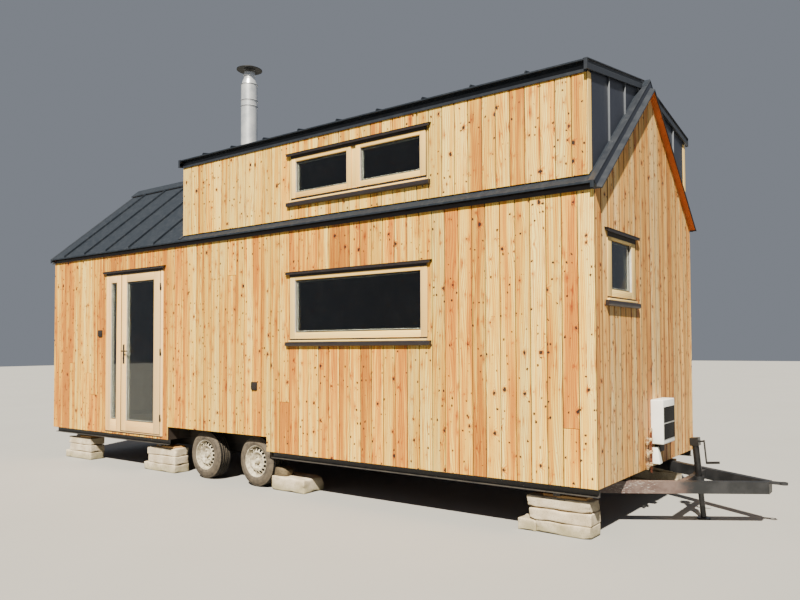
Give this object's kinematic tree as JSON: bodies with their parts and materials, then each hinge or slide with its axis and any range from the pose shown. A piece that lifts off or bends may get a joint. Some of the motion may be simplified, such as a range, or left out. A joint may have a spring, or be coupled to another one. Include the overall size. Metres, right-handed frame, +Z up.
{
  "type": "tiny house on a tandem-axle trailer",
  "caption": "Timber-clad mobile tiny house with a dark metal roof and side dormers, on a tandem-axle trailer propped on block piers, with a glazed door, turning wheels and a drawbar jack.",
  "frame": {"origin": "centre of the whole object in plan, from the far verge to the towing eye, at ground level", "axes": "+X along the house towards the drawbar and towing eye, -Y the long side with the entrance door, +Z up"},
  "size_m": [9.558, 2.68, 5.058],
  "materials": {
    "cladding": "clear-oiled larch boards",
    "roof_metal": "matt anthracite standing-seam sheet",
    "flashing": "matt dark folded sheet",
    "soffit_wood": "clear-oiled boards",
    "window_wood": "clear-lacquered light timber",
    "pane": "double glazing",
    "door_wood": "clear-lacquered light timber",
    "hardware": "satin",
    "floor_wood": "boarded",
    "housing_board": "dark stained board",
    "chassis_steel": "weathered dark paint with rust",
    "tyre": "dusty",
    "rim_steel": "silver paint",
    "jack_steel": "black paint, worn",
    "flue_steel": "bright",
    "flue_cap": "black",
    "unit_shell": "white",
    "unit_grille": "dark mesh",
    "valve_brass": "dull",
    "box_plastic": "black",
    "block_concrete": "pale weathered aerated concrete block",
    "shim_wood": "raw offcut"
  },
  "bodies": {
    "root": {"front_wall_left": "cladding", "front_wall_door_bay": "cladding", "front_wall_right": "cladding", "back_wall": "cladding", "gable_wall_hitch": "cladding", "gable_wall_far": "cladding", "dormer_wall_front": "cladding", "dormer_wall_back": "cladding", "roof_front": "roof_metal", "roof_back": "roof_metal", "eave_strips": "roof_metal", "verge_strips": "roof_metal", "dormer_roof_front": "roof_metal", "dormer_roof_back": "roof_metal", "dormer_cheeks": "roof_metal", "ridge_cap": "roof_metal", "eave_fascias": "flashing", "dormer_fascias": "flashing", "rake_trims": "flashing", "dormer_rake_trims": "flashing", "window_trims": "flashing", "rake_soffits": "soffit_wood", "window_frames": "window_wood", "window_panes": "pane", "door_frame": "door_wood", "frame_hinges": "hardware", "floor": "floor_wood", "wheel_housings": "housing_board", "main_rails": "chassis_steel", "side_rails": "chassis_steel", "cross_members": "chassis_steel", "axles": "chassis_steel", "drawbar_beams": "chassis_steel", "jack_crossbar": "chassis_steel", "towing_eye": "chassis_steel", "jack_tube": "jack_steel", "flue_pipe": "flue_steel", "flue_cap": "flue_cap", "heater_unit": "unit_shell", "heater_grille": "unit_grille", "valve_manifold": "valve_brass", "wall_boxes": "box_plastic", "block_piers": "block_concrete", "wheel_chocks": "block_concrete", "pier_shims": "shim_wood"},
    "wheel_rear_front": {"tyre_rear_front": "tyre", "rim_rear_front": "rim_steel"},
    "wheel_rear_back": {"tyre_rear_back": "tyre", "rim_rear_back": "rim_steel"},
    "wheel_fore_front": {"tyre_fore_front": "tyre", "rim_fore_front": "rim_steel"},
    "wheel_fore_back": {"tyre_fore_back": "tyre", "rim_fore_back": "rim_steel"},
    "door": {"door_leaf": "door_wood", "door_pane": "pane", "door_handle": "hardware", "leaf_hinges": "hardware"},
    "jack_leg": {"jack_leg": "jack_steel"},
    "jack_crank": {"jack_crank": "jack_steel"}
  },
  "joints": [
    {"name": "wheel_rear_front_spin", "type": "hinge", "parent": "root", "child": "wheel_rear_front", "pos_m": [-1.322, -1.1225, 0.2825], "axis": [0, 1, 0], "continuous": true},
    {"name": "wheel_rear_back_spin", "type": "hinge", "parent": "root", "child": "wheel_rear_back", "pos_m": [-1.322, 1.1225, 0.2825], "axis": [0, 1, 0], "continuous": true},
    {"name": "wheel_fore_front_spin", "type": "hinge", "parent": "root", "child": "wheel_fore_front", "pos_m": [-0.427, -1.1225, 0.2825], "axis": [0, 1, 0], "continuous": true},
    {"name": "wheel_fore_back_spin", "type": "hinge", "parent": "root", "child": "wheel_fore_back", "pos_m": [-0.427, 1.1225, 0.2825], "axis": [0, 1, 0], "continuous": true},
    {"name": "door_swing", "type": "hinge", "parent": "root", "child": "door", "pos_m": [-2.103, -1.294, 1.456], "axis": [0, 0, 1], "range_deg": [0, 100]},
    {"name": "jack_leg_slide", "type": "slide", "parent": "root", "child": "jack_leg", "axis": [-0.0958, 0, 0.9954], "range_m": [0, 0.2]},
    {"name": "jack_crank_turn", "type": "hinge", "parent": "root", "child": "jack_crank", "pos_m": [4.05885, 0, 0.67848], "axis": [0.9954, 0, 0.0958], "continuous": true}
  ]
}
